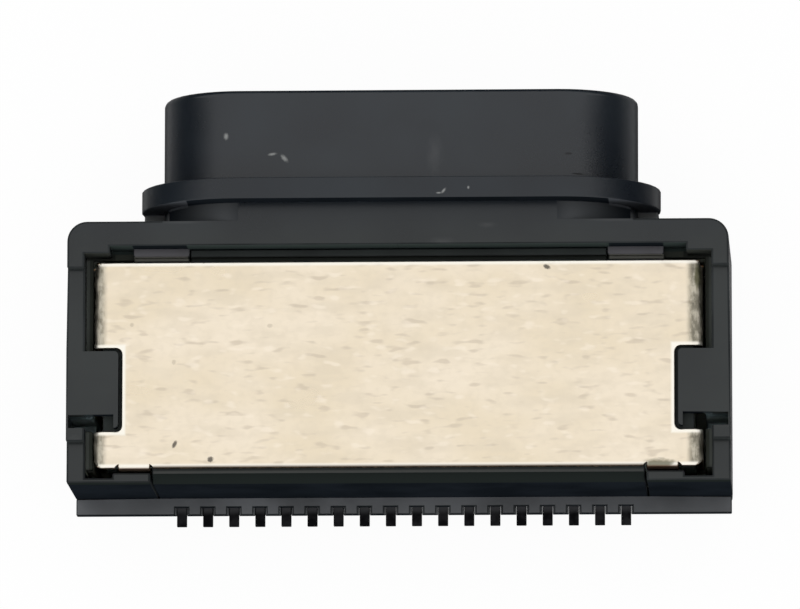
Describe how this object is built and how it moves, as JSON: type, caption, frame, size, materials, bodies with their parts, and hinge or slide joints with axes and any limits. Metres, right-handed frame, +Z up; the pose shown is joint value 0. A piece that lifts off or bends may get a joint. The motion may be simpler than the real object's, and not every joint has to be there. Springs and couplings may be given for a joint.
{
  "type": "charging port connector",
  "caption": "Board-mounted charging receptacle: black moulded body with a round-ended plug nose and flange, a folded metal shield plate on top and a row of short solder tails.",
  "frame": {"origin": "centre of the part's footprint, on its flat underside", "axes": "+X along the row of solder tails, +Y out of the mouth that the plug enters, +Z up through the shield plate"},
  "size_m": [0.0126, 0.008, 0.0039],
  "materials": {
    "black_plastic": "matte",
    "carrier_plastic": "matte",
    "shield_metal": "satin",
    "contact_metal": "satin",
    "latch_metal": "satin"
  },
  "bodies": {
    "root": {"housing": "black_plastic", "shield_plate": "shield_metal", "contact_base": "carrier_plastic", "upper_carrier": "carrier_plastic", "latch_spring_left": "latch_metal", "latch_spring_right": "latch_metal", "upper_contact_1": "contact_metal", "upper_contact_2": "contact_metal", "upper_contact_3": "contact_metal", "upper_contact_4": "contact_metal", "upper_contact_5": "contact_metal", "upper_contact_6": "contact_metal", "upper_contact_7": "contact_metal", "upper_contact_8": "contact_metal", "lower_contact_1": "contact_metal", "lower_contact_2": "contact_metal", "lower_contact_3": "contact_metal", "lower_contact_4": "contact_metal", "lower_contact_5": "contact_metal", "lower_contact_6": "contact_metal", "lower_contact_7": "contact_metal", "lower_contact_8": "contact_metal"}
  },
  "joints": []
}
